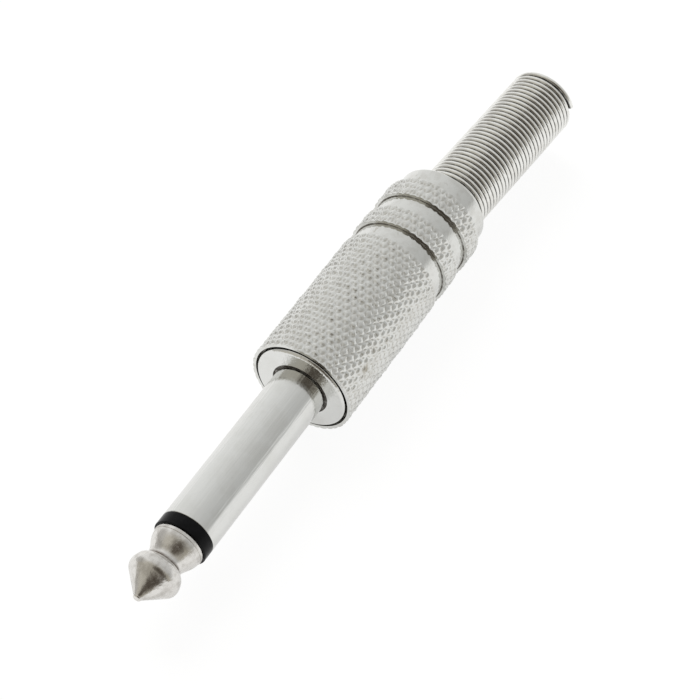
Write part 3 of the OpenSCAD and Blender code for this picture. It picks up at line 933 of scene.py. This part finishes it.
def liner_plastic():
    """Barrel liner: milky see-through plastic."""
    material, shader = plastic("liner_plastic", (0.86, 0.87, 0.87, 1), (0.8, 0.81, 0.8, 1), 0.25, 3.0)
    shader.inputs["Transmission Weight"].default_value = 0.6
    return material


def give(piece, material):
    """Puts one material on a piece in place of what it had."""
    piece.data.materials.clear()
    piece.data.materials.append(material)


# Stage

def make_floor():
    """Pale floor under the barrel.

    Eye and mirror rays see it partly lit by itself, so that it is white with a soft shadow.
    """
    half_width = 3.0
    below = 0.02 * MM
    mesh = bpy.data.meshes.new("floor")
    height = cad_box[0][2] - below
    corners = [(-1, -1), (1, -1), (1, 1), (-1, 1)]
    mesh.from_pydata([(half_width * x, half_width * y, height) for x, y in corners], [], [(0, 1, 2, 3)])
    floor = bpy.data.objects.new("floor", mesh)
    bpy.context.scene.collection.objects.link(floor)
    material = bpy.data.materials.new("floor_white")
    material.use_nodes = True
    material.node_tree.nodes.clear()
    nodes = Nodes(material.node_tree)
    path = nodes.add("ShaderNodeLightPath").outputs
    mirrored = nodes.math("ADD", path["Is Glossy Ray"], path["Is Transmission Ray"], clamp=True)
    mixed = nodes.add("ShaderNodeBsdfDiffuse", Color=(0.85, 0.85, 0.85, 1))
    for share, shade, own in ((mirrored, 0.42, 0.64), (path["Is Camera Ray"], 0.12, 0.92)):
        shaded = nodes.add("ShaderNodeBsdfDiffuse", Color=(shade, shade, shade, 1))
        glow = nodes.add("ShaderNodeEmission", Color=(1, 1, 1, 1), Strength=own)
        bright = nodes.add("ShaderNodeAddShader", i0=shaded.outputs[0], i1=glow.outputs[0])
        mixed = nodes.add("ShaderNodeMixShader", i0=share, i1=mixed.outputs[0], i2=bright.outputs[0])
    nodes.add("ShaderNodeOutputMaterial", Surface=mixed.outputs[0])
    mesh.materials.append(material)


def make_world():
    """Studio round the plug: a pale sweep behind it, brighter towards -Y and low down, and a warm room.

    A grey wall stands on the -Y side, a soft dark patch low on the room's +Y side, and a darker one where
    the camera stands. The eye itself sees white.
    """
    world = bpy.data.worlds.new("studio")
    bpy.context.scene.world = world
    world.use_nodes = True
    world.node_tree.nodes.clear()
    nodes = Nodes(world.node_tree)
    towards = nodes.add("ShaderNodeTexCoord").outputs["Generated"]
    axes = nodes.add("ShaderNodeSeparateXYZ", Vector=towards).outputs
    pale = (0.95, 0.95, 0.94, 1)
    side = nodes.add("ShaderNodeMapRange", i0=axes["Y"], i1=-1.0, i2=1.0).outputs[0]
    sweep = nodes.mix_colour(side, pale, (0.50, 0.50, 0.49, 1))
    sweep = nodes.mix_colour(nodes.ease(axes["Z"], 0.28, 0.0), sweep, pale)
    room = nodes.mix_colour(side, (0.59, 0.565, 0.505, 1), (0.43, 0.405, 0.35, 1))
    colour = nodes.mix_colour(nodes.ease(axes["X"], -0.28, 0.4), sweep, room)
    patches = [
        ((0.08, -0.95, 0.34), 32, 6, (0.50, 0.49, 0.47, 1)),
        ((0.755, 0.571, 0.292), 26, 6, (0.13, 0.115, 0.10, 1)),
        ((0.6, 0.38, 0.70), 38, 2, (0.09, 0.075, 0.06, 1)),
    ]
    for way, outer, inner, dark in patches:
        way = Vector(way).normalized()
        facing = nodes.add("ShaderNodeVectorMath", {"operation": "DOT_PRODUCT"}, i0=towards, i1=way)
        edge, core = math.cos(math.radians(outer)), math.cos(math.radians(inner))
        share = nodes.ease(facing.outputs["Value"], edge, core)
        colour = nodes.mix_colour(share, colour, dark)
    path = nodes.add("ShaderNodeLightPath").outputs
    seen = nodes.math("ADD", path["Is Camera Ray"], path["Is Transmission Ray"], clamp=True)
    colour = nodes.mix_colour(seen, colour, (1, 1, 1, 1))
    background = nodes.add("ShaderNodeBackground", Color=colour, Strength=1.0)
    nodes.add("ShaderNodeOutputWorld", Surface=background.outputs[0])


def make_lamp():
    """One large soft lamp above and behind, on the -Y side, that no mirror shows."""
    distance = 0.7
    light = bpy.data.lights.new("soft_lamp", "AREA")
    light.shape = "DISK"
    light.size = 0.5
    light.energy = 2.0
    lamp = bpy.data.objects.new("soft_lamp", light)
    way = Vector((-0.35, -0.55, 0.76)).normalized()
    lamp.location = way * distance
    lamp.rotation_mode = "QUATERNION"
    lamp.rotation_quaternion = way.to_track_quat("Z", "Y")
    lamp.visible_glossy = False
    bpy.context.scene.collection.objects.link(lamp)


def make_camera():
    """Camera at the photograph's angle, aimed at a point on the plug's axis plane."""
    data = bpy.data.cameras.new("camera")
    data.sensor_width = SENSOR_WIDTH
    data.lens = CAMERA_LENS
    data.clip_start = 0.01
    camera = bpy.data.objects.new("camera", data)
    flat = math.cos(CAMERA_ELEVATION)
    way = Vector((
        flat * math.cos(CAMERA_AZIMUTH), flat * math.sin(CAMERA_AZIMUTH), math.sin(CAMERA_ELEVATION)
    ))
    camera.location = (Vector(CAMERA_TARGET) + way * CAMERA_DISTANCE) * MM
    camera.rotation_mode = "QUATERNION"
    camera.rotation_quaternion = (-way).to_track_quat("-Z", "Y")
    bpy.context.scene.collection.objects.link(camera)
    bpy.context.scene.camera = camera


make_camera()
make_floor()
make_world()
make_lamp()
bpy.context.scene.view_settings.view_transform = "Standard"

give(make_shank(), polished_nickel())
give(make_tip(), scuffed_nickel())
give(make_insulator(), black_insulator())
give(make_barrel(), knurled_nickel())
give(make_spring(), spring_wire())

tin = tinned_brass()
core = plastic("core_plastic", (0.05, 0.05, 0.05, 1), (0.07, 0.07, 0.07, 1), 0.5, 6.0)[0]
give(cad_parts["sleeve_tag"], tin)
give(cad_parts["tip_tag"], tin)
give(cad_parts["core_tube"], core)
give(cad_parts["rear_washer"], core)
give(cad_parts["barrel_liner"], liner_plastic())

bpy.context.view_layer.update()
